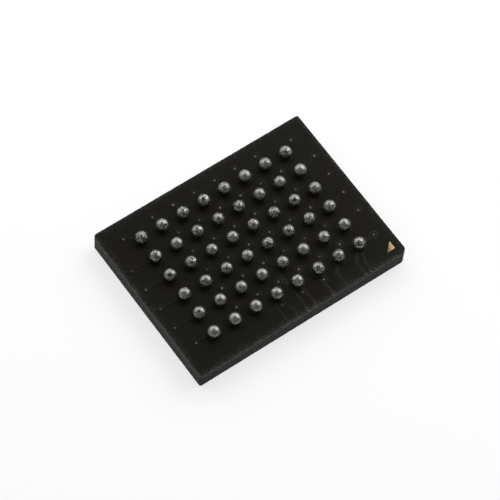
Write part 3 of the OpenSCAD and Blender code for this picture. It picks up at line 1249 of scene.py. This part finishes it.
@dataclass
class InnerPieces:
    """Finishes of the CAD solids that are right as they are.

    Attributes:
        finishes: Each finish with the CAD nodes that have it.
    """

    finishes: tuple[tuple[MetalFinish | SolidFinish, tuple[str, ...]], ...] = (
        (
            MetalFinish("copper", (0.72, 0.36, 0.20), (0.40, 0.20, 0.12)),
            ("copper_ball_side", "copper_die_side", "via_barrels"),
        ),
        (MetalFinish("gold_wire", (0.86, 0.64, 0.30), (0.70, 0.50, 0.22)), ("bond_wires",)),
        (MetalFinish("aluminium", (0.80, 0.80, 0.80), (0.55, 0.55, 0.56)), ("bond_pads",)),
        (SolidFinish("silicon", (0.10, 0.10, 0.115), (0.13, 0.13, 0.14), (0.12, 0.2)), ("die",)),
        (SolidFinish("die_attach_film", (0.30, 0.27, 0.20), (0.24, 0.21, 0.16), (0.5, 0.7)), ("die_attach",)),
        (
            SolidFinish("mask_die_side", (0.009, 0.0085, 0.005), (0.012, 0.010, 0.008), (0.4, 0.6)),
            ("solder_mask_die_side",),
        ),
    )

    def dress(self) -> None:
        """Gives each of these solids its finish."""
        for finish, nodes in self.finishes:
            material = finish.material()
            for node in nodes:
                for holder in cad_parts[node].material_slots:
                    holder.link = "OBJECT"
                    holder.material = material
                log.info("%s: keeps its solid, finish %s", node, material.name)


# ---- Studio ----


@dataclass(frozen=True)
class Lamp:
    """A square soft lamp that points at the chip.

    Attributes:
        name: Its name.
        azimuth: Degrees round +Z from +X.
        tilt: Degrees from +Z.
        level: Light on a face turned to it, where 1 shows a colour as it is.
        size: Its side.
    """

    name: str
    azimuth: float
    tilt: float
    level: float
    size: float


@dataclass
class Studio:
    """A pale floor and plain soft light.

    Attributes:
        floor_half: Half the floor's side.
        floor_tone: Colour of the floor.
        floor_lift: What the floor adds to that where it is seen.
        fill: Strength of the light from all round.
        reach: Distance of the lamps.
        lamps: The soft lamps.
    """

    floor_half: float = 0.40
    floor_tone: float = 0.42
    floor_lift: float = 0.69
    fill: float = 0.18
    reach: float = 0.08
    lamps: tuple[Lamp, ...] = (
        Lamp("key", 2, 50, 0.50, 0.066),
        Lamp("back", 104, 54, 0.36, 0.076),
        Lamp("middle", 50, 58, 0.26, 0.070),
        Lamp("side", 165, 74, 0.12, 0.120),
    )

    def build(self) -> None:
        """Builds the floor, the lamps and the world."""
        self._floor()
        for lamp in self.lamps:
            self._hang(lamp)
        self._world()
        view = bpy.context.scene.view_settings
        view.view_transform = "Standard"

    def _seen(self, g: Graph) -> Socket:
        """1 for what the camera sees, straight, mirrored or through glass, and 0 for light."""
        rays = g.add("ShaderNodeLightPath").outputs
        total = rays["Is Camera Ray"]
        for name in ("Is Glossy Ray", "Is Transmission Ray"):
            total = g.maths("MAXIMUM", total, rays[name])
        return total

    def _floor(self) -> None:
        """Builds the floor, which keeps the chip's shadow."""
        mesh = bpy.data.meshes.new("floor")
        h = self.floor_half
        mesh.from_pydata([(-h, -h, 0), (h, -h, 0), (h, h, 0), (-h, h, 0)], [], [(0, 1, 2, 3)])
        floor = add_object("floor", mesh)
        g = Graph("floor")
        paper = g.add("ShaderNodeBsdfDiffuse", {"Color": (self.floor_tone,) * 3})
        lift = g.maths("MULTIPLY", self._seen(g), self.floor_lift)
        glow = g.add("ShaderNodeEmission", {"Strength": lift})
        both = g.add("ShaderNodeAddShader", {0: paper.outputs[0], 1: glow.outputs[0]})
        mesh.materials.append(g.end(both.outputs[0]))

    def _hang(self, lamp: Lamp) -> None:
        """Hangs one lamp over the chip."""
        light = bpy.data.lights.new(lamp.name, "AREA")
        light.size = lamp.size
        light.energy = lamp.level * math.pi**2 * self.reach**2
        holder = add_object(lamp.name, light)
        toward = Vector(direction(lamp.azimuth, lamp.tilt))
        holder.location = toward * self.reach
        holder.rotation_euler = toward.to_track_quat("Z", "Y").to_euler()

    def _world(self) -> None:
        """Fills the room with even light."""
        world = bpy.data.worlds.new("room")
        bpy.context.scene.world = world
        world.use_nodes = True
        sky = world.node_tree.nodes["Background"]
        sky.inputs["Color"].default_value = (1, 1, 1, 1)
        sky.inputs["Strength"].default_value = self.fill


@dataclass
class Viewpoint:
    """The camera, far off with a long lens.

    Attributes:
        azimuth: Degrees that it stands round from the -Y side.
        height: Degrees over the horizon.
        roll: Degrees that it is turned in its own plane.
        distance: From the middle of the ball side.
        pan: How far its aim lies to the right of that middle and above it.
        lens: Focal length in millimetres.
    """

    azimuth: float = -40.045
    height: float = 61.880
    roll: float = 5.463
    distance: float = 91.04 * MM
    pan: tuple[float, float] = (-0.0081 * MM, -0.2407 * MM)
    lens: float = 207.04

    def build(self) -> None:
        """Builds the camera and makes it the scene's own."""
        turn, rise, roll = (math.radians(a) for a in (self.azimuth, self.height, self.roll))
        back = Vector((math.sin(turn) * math.cos(rise), -math.cos(turn) * math.cos(rise), math.sin(rise)))
        right = Vector((0, 0, 1)).cross(back).normalized()
        up = back.cross(right)
        right, up = (
            right * math.cos(roll) + up * math.sin(roll),
            up * math.cos(roll) - right * math.sin(roll),
        )
        target = Vector((0, 0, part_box("solder_mask_ball_side")[1].z))
        camera = bpy.data.cameras.new("camera")
        camera.lens = self.lens
        camera.sensor_width = SENSOR
        camera.clip_start = MM
        camera.clip_end = 10
        holder = add_object("camera", camera)
        place = target + back * self.distance + right * self.pan[0] + up * self.pan[1]
        holder.matrix_world = Matrix.Translation(place) @ Matrix((right, up, back)).transposed().to_4x4()
        bpy.context.scene.camera = holder


# ---- The whole ----


def main() -> None:
    """Builds the studio and the chip, piece by piece."""
    logging.basicConfig(level=logging.INFO, format="%(name)s: %(message)s")
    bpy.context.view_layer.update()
    Viewpoint().build()
    Studio().build()
    side = SawnSide(Outline.of("substrate_core"))
    Body(side).build()
    grid = BallGrid()
    mark = IndexMark()
    BallSideMask(side, grid.centres(), via_centres(), mark.corners()).build()
    mark.build()
    grid.build()
    InnerPieces().dress()
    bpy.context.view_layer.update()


if __name__ == "__main__":
    main()
